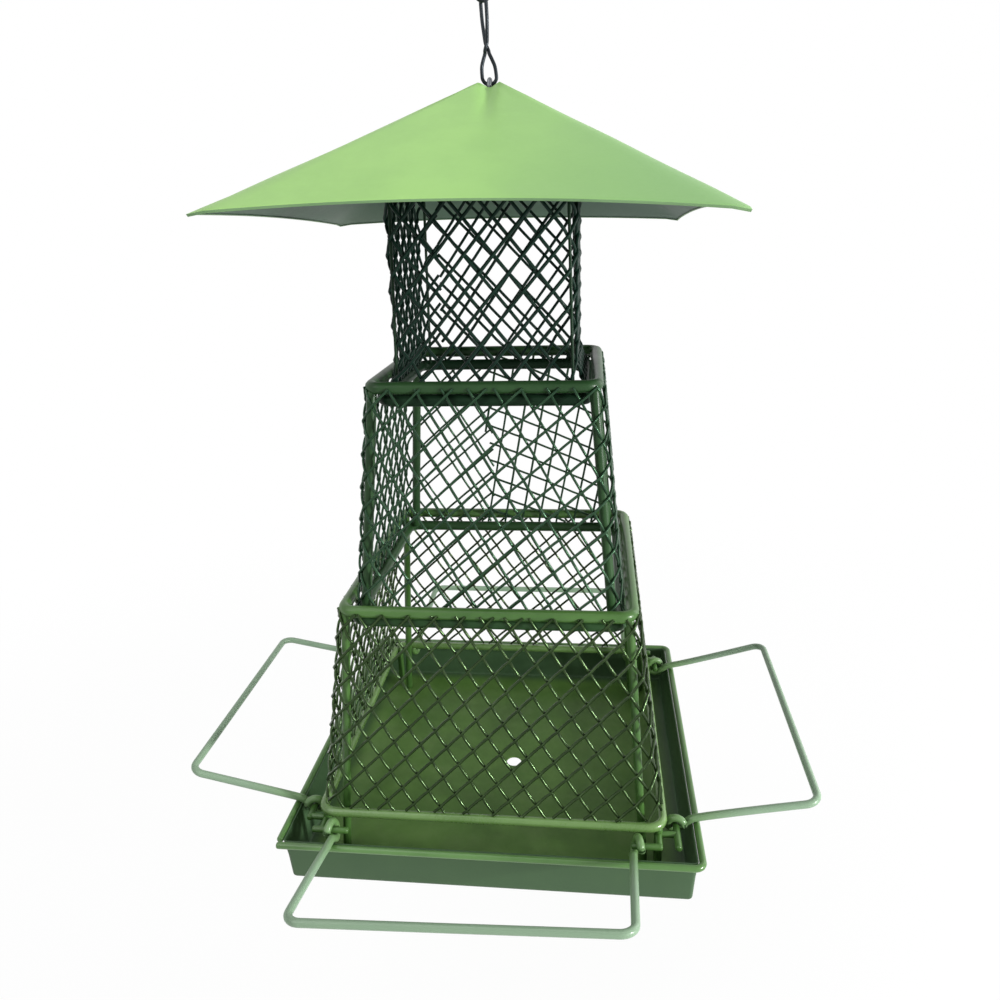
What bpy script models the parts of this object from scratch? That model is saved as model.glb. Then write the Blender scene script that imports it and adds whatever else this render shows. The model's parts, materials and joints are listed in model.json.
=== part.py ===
# Hanging tray bird feeder: three square mesh tiers that telescope under a pyramid roof.
# Metres, +Z up. Heights below are counted from the tray's underside along the hanging line, and the
# whole is then let down so that the origin is the inside top of the hook, where it hangs.
import bpy
import bmesh
from math import asin, atan2, cos, hypot, pi, radians, sin, sqrt, tan
from mathutils import Matrix, Vector

# Driving dimensions, metres
GAP = 0.0003                  # between pieces that touch
ROOF_HALF = 0.0975            # half the roof's width at the eaves
EAVE_Z = 0.2987               # roof corner height
EAVE_BOW = 0.0038             # rise of each eave at its middle
APEX_Z = EAVE_Z + 0.0539      # top edge of the roof's opening
OPENING_HALF = 0.0052         # half the apex opening, outside
SHEET = 0.0008                # roof and tray sheet
HEM = 0.0022                  # turned-down eave
HEM_LEAN = 0.0003             # how far the hem turns in
ROD = 0.0025                  # ring rod radius
POST = 0.0020                 # corner post radius
RING_BEND = 0.0060            # bend radius of a ring's corners
BASE_BEND = 0.0085            # the same on the ring over the tray
BEVEL_STEPS = 2               # how finely every rod is rounded
PANEL = 0.0016                # thickness of two crossed mesh wires
STRAND = 0.0026               # width of a lattice strand
CELLS = 3                     # lattice cells along each edge of a panel
MESH_WRAP = 0.0038            # ring radius where the mesh wires turn round it
FLANGE_WRAP = 0.0036          # the same on the top tier's flange ring

# Half widths, each tier flaring to its foot and caught inside the next tier's top ring
TOP_RING_HALF = 0.0405
TOP_FLANGE_HALF = TOP_RING_HALF + 0.0048
MIDDLE_TOP_HALF = TOP_FLANGE_HALF + 0.0043
MIDDLE_BASE_HALF = MIDDLE_TOP_HALF + 0.0122
BOTTOM_TOP_HALF = MIDDLE_BASE_HALF + 0.0044
BASE_HALF = BOTTOM_TOP_HALF + 0.0152
MIDDLE_POST_TOP = MIDDLE_TOP_HALF - 0.0010      # posts stand inside the rings they join
MIDDLE_POST_FOOT = MIDDLE_BASE_HALF - 0.0045
BOTTOM_POST_TOP = BOTTOM_TOP_HALF - 0.0012
BOTTOM_POST_FOOT = BASE_HALF - 0.0080
PIN_OUT = BASE_HALF + 0.0066              # hinge pins' distance from the middle
TRAY_TOP_HALF = PIN_OUT + 0.0083          # outside of the tray's wall at its edge
TRAY_FOOT_HALF = TRAY_TOP_HALF - 0.0017   # outside of the tray's wall at the floor

# Heights from the tray's underside
TRAY_HEIGHT = 0.0227
RIM_Z = TRAY_HEIGHT - 0.0006
PIN_Z = RIM_Z + 0.0017
BASE_Z = PIN_Z + 0.0050
BOTTOM_TOP_Z = 0.1288
MIDDLE_TOP_Z = 0.2287
BASE_ROD = 0.0023
RIM_ROD = 0.00165
RIM_BEND = 0.0040
TRAY_FOLD = 0.0025            # corner radius of the folded sheet
RIM_SPLIT = 0.0030            # opening between the rim rod's two ends
DRAIN_RADIUS = 0.0040
DRAIN_X = 0.0040
PIN = 0.0014                  # hinge pin radius
PIN_INNER = BASE_HALF - 0.0148            # where each pin ends, toward the middle of its side
LEG = 0.0020
PERCH_WIRE = 0.00185
PERCH_PLAY = 0.0004           # radial play of a perch eye on its pin
PERCH_EYE_X = PIN_INNER + 0.0032          # perch eyes from the middle of the perch
PERCH_BAR_HALF = PERCH_EYE_X - 0.0032     # half the perch's outer bar
PERCH_REACH = TRAY_TOP_HALF + 0.0548      # outer bar from the middle of the feeder
PERCH_BEND = 0.0065
PERCH_SHIFT = {"front": -0.0025, "right": 0.0, "back": 0.0, "left": 0.0}
CHAIN_WIRE = 0.0008
LINK_LENGTH = 0.0349          # centreline length of a link
LINK_HALF = 0.0031            # centreline half width of a link's loops
LINK_WAIST = 0.00095          # half the spacing of the two strands at the twist
LINK_TWIST = 0.0022           # half the length of the twist
HANGER_WIRE = 0.0013
HANGER_EYE = 0.0030
HANGER_EYE_Z = APEX_Z - 0.0018
HANGER_FOOT = 0.0035          # straight end of the hanger beside the top ring
HOOK_WIRE = 0.00125
HOOK_SMALL = 0.0045
HOOK_LARGE = 0.0090

# Heights that follow from one ring resting under another
def ring_drop(outer_half, inner_half, outer_wrap, inner_wrap):
    reach = outer_wrap + inner_wrap + GAP
    return sqrt(reach ** 2 - (outer_half - inner_half) ** 2)


TOP_FLANGE_Z = MIDDLE_TOP_Z - ring_drop(MIDDLE_TOP_HALF, TOP_FLANGE_HALF, MESH_WRAP, FLANGE_WRAP)
MIDDLE_BASE_Z = BOTTOM_TOP_Z - ring_drop(BOTTOM_TOP_HALF, MIDDLE_BASE_HALF, MESH_WRAP, MESH_WRAP)
ROOF_SEAT = 0.75              # share of the eave's half length where the ring's bends meet the roof
SEAT_EAVE_Z = EAVE_Z + EAVE_BOW * (1 - ROOF_SEAT ** 2) * (1 - ROOF_SEAT)
ROOF_SLOPE = atan2(APEX_Z - SEAT_EAVE_Z, ROOF_HALF - OPENING_HALF)
ROOF_UNDER_Z = SEAT_EAVE_Z + (ROOF_HALF - TOP_RING_HALF) * tan(ROOF_SLOPE)
TOP_RING_Z = ROOF_UNDER_Z - (SHEET + ROD + GAP) / cos(ROOF_SLOPE)
RIM_HALF = TRAY_TOP_HALF + RIM_ROD + GAP / 2
LINK_Z = HANGER_EYE_Z + HANGER_EYE - HANGER_WIRE - CHAIN_WIRE - GAP + LINK_LENGTH / 2
LINK_PITCH = LINK_LENGTH - 2 * CHAIN_WIRE - GAP
HOOK_Z = LINK_Z + LINK_PITCH + LINK_LENGTH / 2 - CHAIN_WIRE - HOOK_WIRE - GAP + HOOK_SMALL
HANG_Z = HOOK_Z + HOOK_SMALL + 2 * HOOK_LARGE - HOOK_WIRE
SIDES = ("front", "right", "back", "left")
CORNERS = ("front_right", "back_right", "back_left", "front_left")


def perch_tilt():
    reach = RIM_HALF - PIN_OUT
    drop = PIN_Z - RIM_Z
    clear = RIM_ROD + PERCH_WIRE + GAP
    return asin(clear / hypot(reach, drop)) - atan2(drop, reach)


# Scene, collections and materials
def start_scene():
    for old in list(bpy.data.objects):
        bpy.data.objects.remove(old, do_unlink=True)
    made = []
    for name in ("hanging_tray_bird_feeder", "cutters"):
        group = bpy.data.collections.new(name)
        bpy.context.scene.collection.children.link(group)
        made.append(group)
    return made


FEEDER, CUTTERS = start_scene()


def make_material(name, colour, roughness, metallic):
    made = bpy.data.materials.new(name)
    made.use_nodes = True
    shader = made.node_tree.nodes["Principled BSDF"]
    shader.inputs["Base Color"].default_value = (*colour, 1.0)
    shader.inputs["Roughness"].default_value = roughness
    shader.inputs["Metallic"].default_value = metallic
    return made


PAINTS = {
    "roof": make_material("painted_roof", (0.33, 0.56, 0.19), 0.38, 0.1),
    "frame": make_material("painted_frame", (0.07, 0.15, 0.05), 0.35, 0.1),
    "mesh": make_material("painted_mesh", (0.04, 0.09, 0.035), 0.40, 0.1),
    "tray": make_material("painted_tray", (0.08, 0.18, 0.05), 0.42, 0.1),
    "perch": make_material("painted_perch", (0.22, 0.36, 0.20), 0.35, 0.1),
    "chain": make_material("dark_chain", (0.015, 0.02, 0.022), 0.38, 0.8),
    "zinc": make_material("zinc_wire", (0.35, 0.37, 0.38), 0.35, 0.9),
}


def add(obj, paint, parent=None):
    FEEDER.objects.link(obj)
    obj.data.materials.append(PAINTS[paint].copy())
    obj.data.materials[0].name = obj.name + "_paint"
    if parent:
        obj.parent = parent
    return obj


def pivot(name, place, parent=None):
    # An empty on a joint's axis that carries the pieces of one moving body
    empty = bpy.data.objects.new(name, None)
    FEEDER.objects.link(empty)
    empty.empty_display_size = 0.01
    if parent:
        empty.parent = parent
        empty.location = Vector(place) - Vector(parent["place"])
    else:
        empty.location = place
    empty["place"] = Vector(place)
    return empty


HANGING = pivot("hanging_line", (0, 0, 0))
HANGING.location.z = -HANG_Z


# Wires and rods
def wire(name, points, radius, paint, body, closed=False, swell=None):
    curve = bpy.data.curves.new(name, "CURVE")
    curve.dimensions = "3D"
    curve.bevel_depth = radius
    curve.bevel_resolution = BEVEL_STEPS
    curve.use_fill_caps = True
    line = curve.splines.new("POLY")
    line.points.add(len(points) - 1)
    start = Vector(body["place"])
    for number, spot in enumerate(points):
        line.points[number].co = (*(Vector(spot) - start), 1.0)
        line.points[number].radius = swell[number] if swell else 1.0
    line.use_cyclic_u = closed
    line.use_smooth = True
    return add(bpy.data.objects.new(name, curve), paint, body)


def turned(spot, quarter):
    # A quarter turn about the hanging line for each side
    return Matrix.Rotation(quarter * pi / 2, 4, "Z") @ Vector(spot)


def arc(centre, radius, start, end, steps):
    return [(centre[0] + radius * cos(start + (end - start) * k / steps),
             centre[1] + radius * sin(start + (end - start) * k / steps)) for k in range(steps + 1)]


def ring(name, half, height, radius, body, wrap=None, bend=RING_BEND, paint="frame"):
    # A rod bent square; where the mesh turns round it, it is as thick as rod and wires together
    points, swell = [], []
    taper = 0.6 * radius
    for quarter in range(4):
        corner = half - bend
        for x, y in arc((corner, -corner), bend, -pi / 2, 0, 3):
            points.append(turned((x, y, height), quarter))
            swell.append(1.0)
        if wrap:
            for y, size in ((-corner + taper, wrap / radius), (corner - taper, wrap / radius)):
                points.append(turned((half, y, height), quarter))
                swell.append(size)
    return wire(name, points, radius, paint, body, True, swell)


def posts(prefix, top_half, top_z, base_half, base_z, body):
    # Corner posts, leaning out to the foot of their tier
    for quarter, corner in enumerate(CORNERS):
        top = turned((top_half, -top_half, top_z), quarter)
        base = turned((base_half, -base_half, base_z), quarter)
        wire(f"{prefix}_post_{corner}", [base, top], POST, "frame", body)


# Mesh panels
def lattice(width_foot, width_top, height):
    # Squares poked at their centres and freed of their own edges leave diamonds, whose
    # insides are then cut out so that only strands remain
    sheet = bmesh.new()
    bmesh.ops.create_grid(sheet, x_segments=CELLS, y_segments=CELLS, size=0.5)
    inner = [edge for edge in sheet.edges if not edge.is_boundary]
    bmesh.ops.poke(sheet, faces=sheet.faces[:])
    bmesh.ops.dissolve_edges(sheet, edges=inner, use_verts=False)
    for vert in sheet.verts:
        share = vert.co.y + 0.5
        vert.co.x *= width_foot + (width_top - width_foot) * share
        vert.co.y *= height
    cells = sheet.faces[:]
    bmesh.ops.inset_individual(sheet, faces=cells, thickness=STRAND / 2, use_even_offset=True)
    bmesh.ops.delete(sheet, geom=cells, context="FACES")
    mesh = bpy.data.meshes.new("lattice")
    sheet.to_mesh(mesh)
    sheet.free()
    return mesh


def panels(prefix, foot, top, body):
    # foot and top give the panel's distance out, its height and its half width there
    rise = hypot(foot[0] - top[0], top[1] - foot[1])
    lean = atan2(top[1] - foot[1], foot[0] - top[0])
    mesh = lattice(2 * foot[2], 2 * top[2], rise)
    for quarter, side in enumerate(SIDES):
        panel = bpy.data.objects.new(f"{prefix}_panel_{side}", mesh.copy())
        middle = turned((0, -(foot[0] + top[0]) / 2, (foot[1] + top[1]) / 2), quarter)
        add(panel, "mesh", body)
        panel.location = middle - Vector(body["place"])
        panel.rotation_euler = (lean, 0, quarter * pi / 2)
        solid = panel.modifiers.new("strand_thickness", "SOLIDIFY")
        solid.thickness = PANEL
        solid.offset = 0
        solid.use_even_offset = True


def panel_edge(half, height, other_half, other_z, clear, post_half):
    # A point on the plane through two ring centrelines, clear of the ring it starts at and the posts
    run = Vector((other_half - half, other_z - height))
    reach = run.normalized() * clear
    return half + reach.x, height + reach.y, post_half - POST - GAP - PANEL / 2


# Roof
def roof(body):
    shell = bmesh.new()
    steps = 8
    rows = ((ROOF_HALF - HEM_LEAN, -HEM, 0.0), (ROOF_HALF, 0.0, 0.0), (None, None, 0.5),
            (OPENING_HALF, None, 1.0))
    grid = []
    for half, fall, share in rows:
        half = half or (ROOF_HALF + OPENING_HALF) / 2
        line = []
        for quarter in range(4):
            for k in range(steps):
                u = -1 + 2 * k / steps
                eave = EAVE_Z + EAVE_BOW * (1 - u * u)
                z = eave + (APEX_Z - eave) * share + (fall or 0)
                line.append(shell.verts.new(turned((u * half, -half, z), quarter)))
        grid.append(line)
    for lower, upper in zip(grid, grid[1:]):
        count = len(lower)
        for k in range(count):
            after = (k + 1) % count
            shell.faces.new((lower[k], lower[after], upper[after], upper[k]))
    mesh = bpy.data.meshes.new("roof")
    shell.to_mesh(mesh)
    shell.free()
    mesh.transform(Matrix.Translation(-Vector(body["place"])))
    made = add(bpy.data.objects.new("roof", mesh), "roof", body)
    solid = made.modifiers.new("sheet", "SOLIDIFY")
    solid.thickness = SHEET
    solid.offset = -1
    solid.use_even_offset = True
    return made


# Tray
def tray(body):
    pan = bmesh.new()
    bmesh.ops.create_cone(pan, cap_ends=True, segments=4, radius1=TRAY_FOOT_HALF * sqrt(2),
                          radius2=TRAY_TOP_HALF * sqrt(2), depth=TRAY_HEIGHT)
    bmesh.ops.rotate(pan, verts=pan.verts, cent=(0, 0, 0), matrix=Matrix.Rotation(pi / 4, 3, "Z"))
    bmesh.ops.translate(pan, verts=pan.verts, vec=(0, 0, TRAY_HEIGHT / 2))
    lid = [face for face in pan.faces if face.normal.z > 0.9]
    bmesh.ops.delete(pan, geom=lid, context="FACES")
    folds = [edge for edge in pan.edges if abs(edge.verts[0].co.z - edge.verts[1].co.z) > SHEET]
    bmesh.ops.bevel(pan, geom=folds, offset=TRAY_FOLD, segments=3, affect="EDGES", profile=0.5)
    mesh = bpy.data.meshes.new("tray")
    pan.to_mesh(mesh)
    pan.free()
    mesh.transform(Matrix.Translation(-Vector(body["place"])))
    made = add(bpy.data.objects.new("tray_pan", mesh), "tray", body)
    solid = made.modifiers.new("sheet", "SOLIDIFY")
    solid.thickness = SHEET
    solid.offset = -1
    solid.use_even_offset = True
    drill = bmesh.new()
    bmesh.ops.create_cone(drill, cap_ends=True, segments=20, radius1=DRAIN_RADIUS,
                          radius2=DRAIN_RADIUS, depth=4 * SHEET)
    hole = bpy.data.meshes.new("drain_cutter")
    drill.to_mesh(hole)
    drill.free()
    cutter = bpy.data.objects.new("drain_cutter", hole)
    CUTTERS.objects.link(cutter)
    cutter.parent = HANGING
    cutter.location = (DRAIN_X, 0, 0)
    cutter.hide_render = True
    cutter.display_type = "WIRE"
    cut = made.modifiers.new("drain", "BOOLEAN")
    cut.operation = "DIFFERENCE"
    cut.solver = "EXACT"
    cut.object = cutter
    return made


def rim(body):
    # One rod round the outside of the tray, its ends almost meeting at the front left corner
    inner = RIM_HALF - RIM_BEND
    points = [Vector((-RIM_HALF + RIM_ROD, -RIM_HALF, RIM_Z))]
    for quarter in range(4):
        bend = arc((inner, -inner), RIM_BEND, -pi / 2, 0, 3)
        if quarter == 3:
            bend = [(RIM_HALF - RIM_SPLIT - RIM_ROD, -RIM_HALF)]
        for x, y in bend:
            points.append(turned((x, y, RIM_Z), quarter))
    return wire("tray_rim", points, RIM_ROD, "tray", body)


# Legs with the hinge pins
def joined(name, pieces, paint, body):
    # Several crossing rods made one body
    solids = []
    for piece in pieces:
        bpy.context.view_layer.update()
        shape = bpy.data.meshes.new_from_object(piece.evaluated_get(bpy.context.evaluated_depsgraph_get()))
        shape.transform(HANGING.matrix_world.inverted() @ piece.matrix_world)
        weld = bmesh.new()
        weld.from_mesh(shape)
        bmesh.ops.remove_doubles(weld, verts=weld.verts, dist=0.00001)
        bmesh.ops.recalc_face_normals(weld, faces=weld.faces)
        weld.to_mesh(shape)
        weld.free()
        shape.materials.clear()
        bpy.data.objects.remove(piece, do_unlink=True)
        solids.append(shape)
    base = solids[0]
    base.transform(Matrix.Translation(-Vector(body["place"])))
    made = add(bpy.data.objects.new(name, base), paint, body)
    for number, shape in enumerate(solids[1:]):
        tool = bpy.data.objects.new(f"{name}_tool_{number}", shape)
        CUTTERS.objects.link(tool)
        tool.parent = HANGING
        tool.hide_render = True
        tool.display_type = "WIRE"
        weld = made.modifiers.new("weld_rods", "BOOLEAN")
        weld.operation = "UNION"
        weld.solver = "EXACT"
        weld.object = tool
    return made


def corner_leg(quarter, corner, body):
    # A short leg from the tray's floor to the base ring, and a wire across it with two pins
    stand = BASE_HALF - BASE_BEND * (1 - sqrt(0.5))
    leg = [turned((stand, -stand, SHEET + GAP), quarter),
           turned((stand, -stand, BASE_Z - BASE_ROD - GAP), quarter)]
    pins = [turned((x, y, PIN_Z), quarter) for x, y in (
        (PIN_INNER, -PIN_OUT), (stand, -PIN_OUT), (stand, -stand), (PIN_OUT, -stand), (PIN_OUT, -PIN_INNER))]
    name = f"leg_{corner}"
    upright = wire(name + "_upright", leg, LEG, "frame", body)
    across = wire(name + "_across", pins, PIN, "frame", body)
    joined(name, [upright, across], "frame", body)


# Perches
def perch(quarter, side, body):
    # Drawn for the front in the plane of its arms, then tilted to rest on the rim and turned
    tilt = perch_tilt()
    bar = (PERCH_REACH - PIN_OUT) / cos(tilt)
    shift = PERCH_SHIFT[side]
    loop = PIN + PERCH_PLAY + PERCH_WIRE
    half = []
    for k in range(9):
        turn = radians(50) + radians(262) * k / 8
        half.append((PERCH_EYE_X, loop * cos(turn), loop * sin(turn)))
    half.append((PERCH_EYE_X, loop * 1.35, -loop * 0.42))
    half.append((PERCH_EYE_X, loop * 1.95, 0.0))
    for x, out in arc((PERCH_BAR_HALF - PERCH_BEND, bar - PERCH_BEND), PERCH_BEND, 0, pi / 2, 4):
        half.append((x, out, 0.0))
    points = []
    for x, out, up in half + [(-x, out, up) for x, out, up in reversed(half)]:
        y = -(PIN_OUT + out * cos(tilt) - up * sin(tilt))
        z = PIN_Z + out * sin(tilt) + up * cos(tilt)
        points.append(turned((x + shift, y, z), quarter))
    return wire(f"perch_{side}", points, PERCH_WIRE, "perch", body)


# Chain, hanger and hook
def link(name, centre_z, body):
    # A closed figure eight whose upper loop stands a quarter turn from its lower loop
    round_z = LINK_LENGTH / 2 - LINK_HALF
    twist = LINK_TWIST
    run = round_z - twist
    side = [(LINK_WAIST, twist), (LINK_HALF * 0.62, twist + run * 0.26),
            (LINK_HALF * 0.93, twist + run * 0.58)]
    loop = side + arc((0, round_z), LINK_HALF, 0, pi, 6) + [(-x, z) for x, z in reversed(side)]
    points = [(x, 0, -z) for x, z in loop]
    for k in (1, 2):
        turn = pi + pi / 6 * k
        points.append((LINK_WAIST * cos(turn), LINK_WAIST * sin(turn), twist * (2 * k / 3 - 1)))
    points += [(0, -y, z) for y, z in loop]
    for k in (1, 2):
        turn = pi / 2 - pi / 6 * k
        points.append((LINK_WAIST * cos(turn), LINK_WAIST * sin(turn), twist * (1 - 2 * k / 3)))
    return wire(name, [(x, y, z + centre_z) for x, y, z in points], CHAIN_WIRE, "chain", body, True)


def hanger(body):
    # A wire from one side of the top ring up to an eye in the roof's opening and down again
    foot = TOP_RING_HALF - ROD - GAP
    eye = []
    for k in range(11):
        turn = radians(35) + radians(290) * k / 10
        eye.append((0.0, -HANGER_EYE * sin(turn), HANGER_EYE_Z - HANGER_EYE * cos(turn)))
    neck = HANGER_EYE_Z - 2.5 * HANGER_EYE
    shoulder = -foot + 1.7 * HANGER_FOOT
    left = [(-foot, 0, TOP_RING_Z), (-foot + HANGER_FOOT, 0, TOP_RING_Z),
            (shoulder, 0, TOP_RING_Z + 0.35 * HANGER_FOOT),
            (-1.2 * HANGER_EYE, eye[0][1], neck - 0.4 * HANGER_EYE),
            (-0.4 * HANGER_EYE, eye[0][1], neck + 0.5 * HANGER_EYE)]
    right = [(-x, eye[-1][1] if y else 0, z) for x, y, z in reversed(left)]
    return wire("hanger", left + eye + right, HANGER_WIRE, "zinc", body)


def hook(body):
    points = [(x, 0, z) for x, z in arc((0, HOOK_Z), HOOK_SMALL, radians(45), radians(-270), 14)]
    upper = arc((0, HOOK_Z + HOOK_SMALL + HOOK_LARGE), HOOK_LARGE, radians(-90), radians(215), 14)
    points += [(x, 0, z) for x, z in upper[1:]]
    return wire("top_hook", points, HOOK_WIRE, "chain", body)


# Assembly, one empty for each moving body
HOOK_BODY = pivot("body_hook", (0, 0, HOOK_Z - HOOK_SMALL), HANGING)
LINK_UP_BODY = pivot("body_upper_link", (0, 0, HOOK_Z - HOOK_SMALL), HOOK_BODY)
TOP_BODY = pivot("body_top_tier", (0, 0, LINK_Z + LINK_LENGTH / 2), LINK_UP_BODY)
ROOF_BODY = pivot("body_roof", (0, 0, EAVE_Z), TOP_BODY)
MIDDLE_BODY = pivot("body_middle_tier", (0, 0, MIDDLE_BASE_Z), TOP_BODY)
BOTTOM_BODY = pivot("body_bottom_tier", (0, 0, 0), MIDDLE_BODY)

hook(HOOK_BODY)
link("chain_link_upper", LINK_Z + LINK_PITCH, LINK_UP_BODY)
link("chain_link_lower", LINK_Z, TOP_BODY)
hanger(TOP_BODY)
roof(ROOF_BODY)

ring("top_tier_ring_top", TOP_RING_HALF, TOP_RING_Z, ROD, TOP_BODY)
ring("top_tier_ring_base", TOP_FLANGE_HALF, TOP_FLANGE_Z, ROD, TOP_BODY, FLANGE_WRAP)
ring("middle_tier_ring_top", MIDDLE_TOP_HALF, MIDDLE_TOP_Z, ROD, MIDDLE_BODY, MESH_WRAP)
ring("middle_tier_ring_base", MIDDLE_BASE_HALF, MIDDLE_BASE_Z, ROD, MIDDLE_BODY, MESH_WRAP)
ring("bottom_tier_ring_top", BOTTOM_TOP_HALF, BOTTOM_TOP_Z, ROD, BOTTOM_BODY, MESH_WRAP)
ring("bottom_tier_ring_base", BASE_HALF, BASE_Z, BASE_ROD, BOTTOM_BODY, bend=BASE_BEND)

BEND_INSET = RING_BEND * (1 - sqrt(0.5))
posts("top_tier", TOP_RING_HALF - BEND_INSET, TOP_RING_Z - ROD - GAP,
      TOP_FLANGE_HALF - BEND_INSET, TOP_FLANGE_Z + ROD + GAP, TOP_BODY)
posts("middle_tier", MIDDLE_POST_TOP, MIDDLE_TOP_Z - ROD - GAP,
      MIDDLE_POST_FOOT, MIDDLE_BASE_Z + ROD + GAP, MIDDLE_BODY)
posts("bottom_tier", BOTTOM_POST_TOP, BOTTOM_TOP_Z - ROD - GAP, BOTTOM_POST_FOOT, SHEET + GAP, BOTTOM_BODY)

TOP_SIDE = TOP_RING_HALF - BEND_INSET - POST - GAP - PANEL / 2
panels("top_tier", (TOP_RING_HALF, TOP_FLANGE_Z - ROD, TOP_SIDE),
       (TOP_RING_HALF, TOP_RING_Z - ROD - GAP, TOP_SIDE), TOP_BODY)
panels("middle_tier",
       panel_edge(MIDDLE_BASE_HALF, MIDDLE_BASE_Z, MIDDLE_TOP_HALF, MIDDLE_TOP_Z, MESH_WRAP + GAP,
                  MIDDLE_POST_FOOT),
       panel_edge(MIDDLE_TOP_HALF, MIDDLE_TOP_Z, MIDDLE_BASE_HALF, MIDDLE_BASE_Z, MESH_WRAP + GAP,
                  MIDDLE_POST_TOP), MIDDLE_BODY)
BESIDE_BASE = BOTTOM_POST_FOOT - (BOTTOM_POST_FOOT - BOTTOM_POST_TOP) * BASE_Z / BOTTOM_TOP_Z
panels("bottom_tier",
       panel_edge(BASE_HALF, BASE_Z, BOTTOM_TOP_HALF, BOTTOM_TOP_Z, BASE_ROD + GAP, BESIDE_BASE),
       panel_edge(BOTTOM_TOP_HALF, BOTTOM_TOP_Z, BASE_HALF, BASE_Z, MESH_WRAP + GAP, BOTTOM_POST_TOP),
       BOTTOM_BODY)

tray(BOTTOM_BODY)
rim(BOTTOM_BODY)
for QUARTER, CORNER in enumerate(CORNERS):
    corner_leg(QUARTER, CORNER, BOTTOM_BODY)
for QUARTER, SIDE in enumerate(SIDES):
    AXIS = pivot(f"body_perch_{SIDE}", turned((0, -PIN_OUT, PIN_Z), QUARTER), BOTTOM_BODY)
    perch(QUARTER, SIDE, AXIS)
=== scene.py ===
# Hanging tray bird feeder, dressed for the camera: woven wire tiers, sheet roof and tray, bent rods.
import bpy
import bmesh
import json
from math import acos, asin, atan2, ceil, cos, exp, hypot, pi, radians, sin, sqrt, tan
from mathutils import Matrix, Vector, noise


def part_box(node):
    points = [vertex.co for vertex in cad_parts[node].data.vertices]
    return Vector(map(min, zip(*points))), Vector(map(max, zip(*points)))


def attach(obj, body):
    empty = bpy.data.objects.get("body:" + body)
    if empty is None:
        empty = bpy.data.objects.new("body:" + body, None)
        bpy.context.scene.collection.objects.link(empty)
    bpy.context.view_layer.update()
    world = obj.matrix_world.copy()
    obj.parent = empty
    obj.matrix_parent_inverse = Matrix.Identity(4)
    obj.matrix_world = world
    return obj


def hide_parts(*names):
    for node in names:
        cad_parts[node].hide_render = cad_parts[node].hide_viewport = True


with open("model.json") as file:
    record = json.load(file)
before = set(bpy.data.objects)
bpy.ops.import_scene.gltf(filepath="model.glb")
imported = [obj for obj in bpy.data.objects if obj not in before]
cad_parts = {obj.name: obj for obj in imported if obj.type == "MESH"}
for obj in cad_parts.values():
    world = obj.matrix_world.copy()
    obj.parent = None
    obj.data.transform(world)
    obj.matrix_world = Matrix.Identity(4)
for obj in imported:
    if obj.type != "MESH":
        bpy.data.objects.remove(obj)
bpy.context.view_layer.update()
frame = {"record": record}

# Sizes of the real pieces, metres
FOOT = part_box("tray_pan")[0].z    # the tray's underside
ROD = 0.0028                      # ring rods
BASE_ROD = 0.0023
POST = 0.0020
MIDDLE_POST = 0.0023
TOP_POST = 0.0007
RING_BEND = 0.0060
BASE_BEND = 0.0068
WIRE = 0.00064                    # mesh wires
TOP_WIRE = 0.00080
BOTTOM_WIRE = 0.00068
MESH_OFF = 0.0028                 # a mesh stands this far off the line of the rod that it is bound to
SHEET = 0.0008
HEM = 0.0009
HEM_INSET = 0.0004
OPENING_HALF = 0.0047
RIM_ROD = 0.00165
RIM_BEND = 0.0040
RIM_PAST = 0.0004                 # how far its front end runs past the corner
RIM_GAP = 0.0030                  # and how far its left end stops short of it
TRAY_BEND = 0.0022
TRAY_FOLD = 0.0020
TRAY_LEAN = 0.0017                # how far the tray's walls lean in from edge to floor
DRAIN = (0.0040, 0.0, 0.0)        # the drain hole's place in the floor
DRAIN_HOLE = 0.0041
PIN = 0.0016
LEG = 0.0020
PERCH_WIRE = 0.00185
PERCH_PLAY = 0.0003
PERCH_BEND = 0.0065
CHAIN_WIRE = 0.0008
LINK_HALF = 0.0031
LINK_WAIST = 0.00095
LINK_TWIST = 0.0022               # half the height of a link's crossing
HANGER_WIRE = 0.0010
HANGER_EYE = 0.0030
HOOK_WIRE = 0.00125
HOOK_SMALL = 0.0045
HOOK_LARGE = 0.0090
SIDES = ("front", "right", "back", "left")
CORNERS = ("front_right", "back_right", "back_left", "front_left")


def level(node):
    # Height of the middle of a node
    low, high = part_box(node)
    return (low.z + high.z) / 2


# Node graphs: one class wraps a socket so that sums of values read as expressions
class Value:
    def __init__(self, graph, socket):
        self.graph, self.socket = graph, socket

    def math(self, operation, *others):
        return self.graph.out("ShaderNodeMath", {"operation": operation}, self, *others)

    def __add__(self, other):
        return self.math("ADD", other)

    __radd__ = __add__

    def __mul__(self, other):
        return self.math("MULTIPLY", other)

    __rmul__ = __mul__

    def __sub__(self, other):
        return self.math("SUBTRACT", other)

    def __rsub__(self, other):
        return self.graph.out("ShaderNodeMath", {"operation": "SUBTRACT"}, other, self)

    def __truediv__(self, other):
        return self.math("DIVIDE", other)

    def __rtruediv__(self, other):
        return self.graph.out("ShaderNodeMath", {"operation": "DIVIDE"}, other, self)

    def __pow__(self, other):
        return self.math("POWER", other)

    def between(self, low, high):
        # 0 below low, 1 above high, smooth in between
        return self.graph.out("ShaderNodeMapRange", {"interpolation_type": "SMOOTHSTEP"}, self, low, high)


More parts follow.
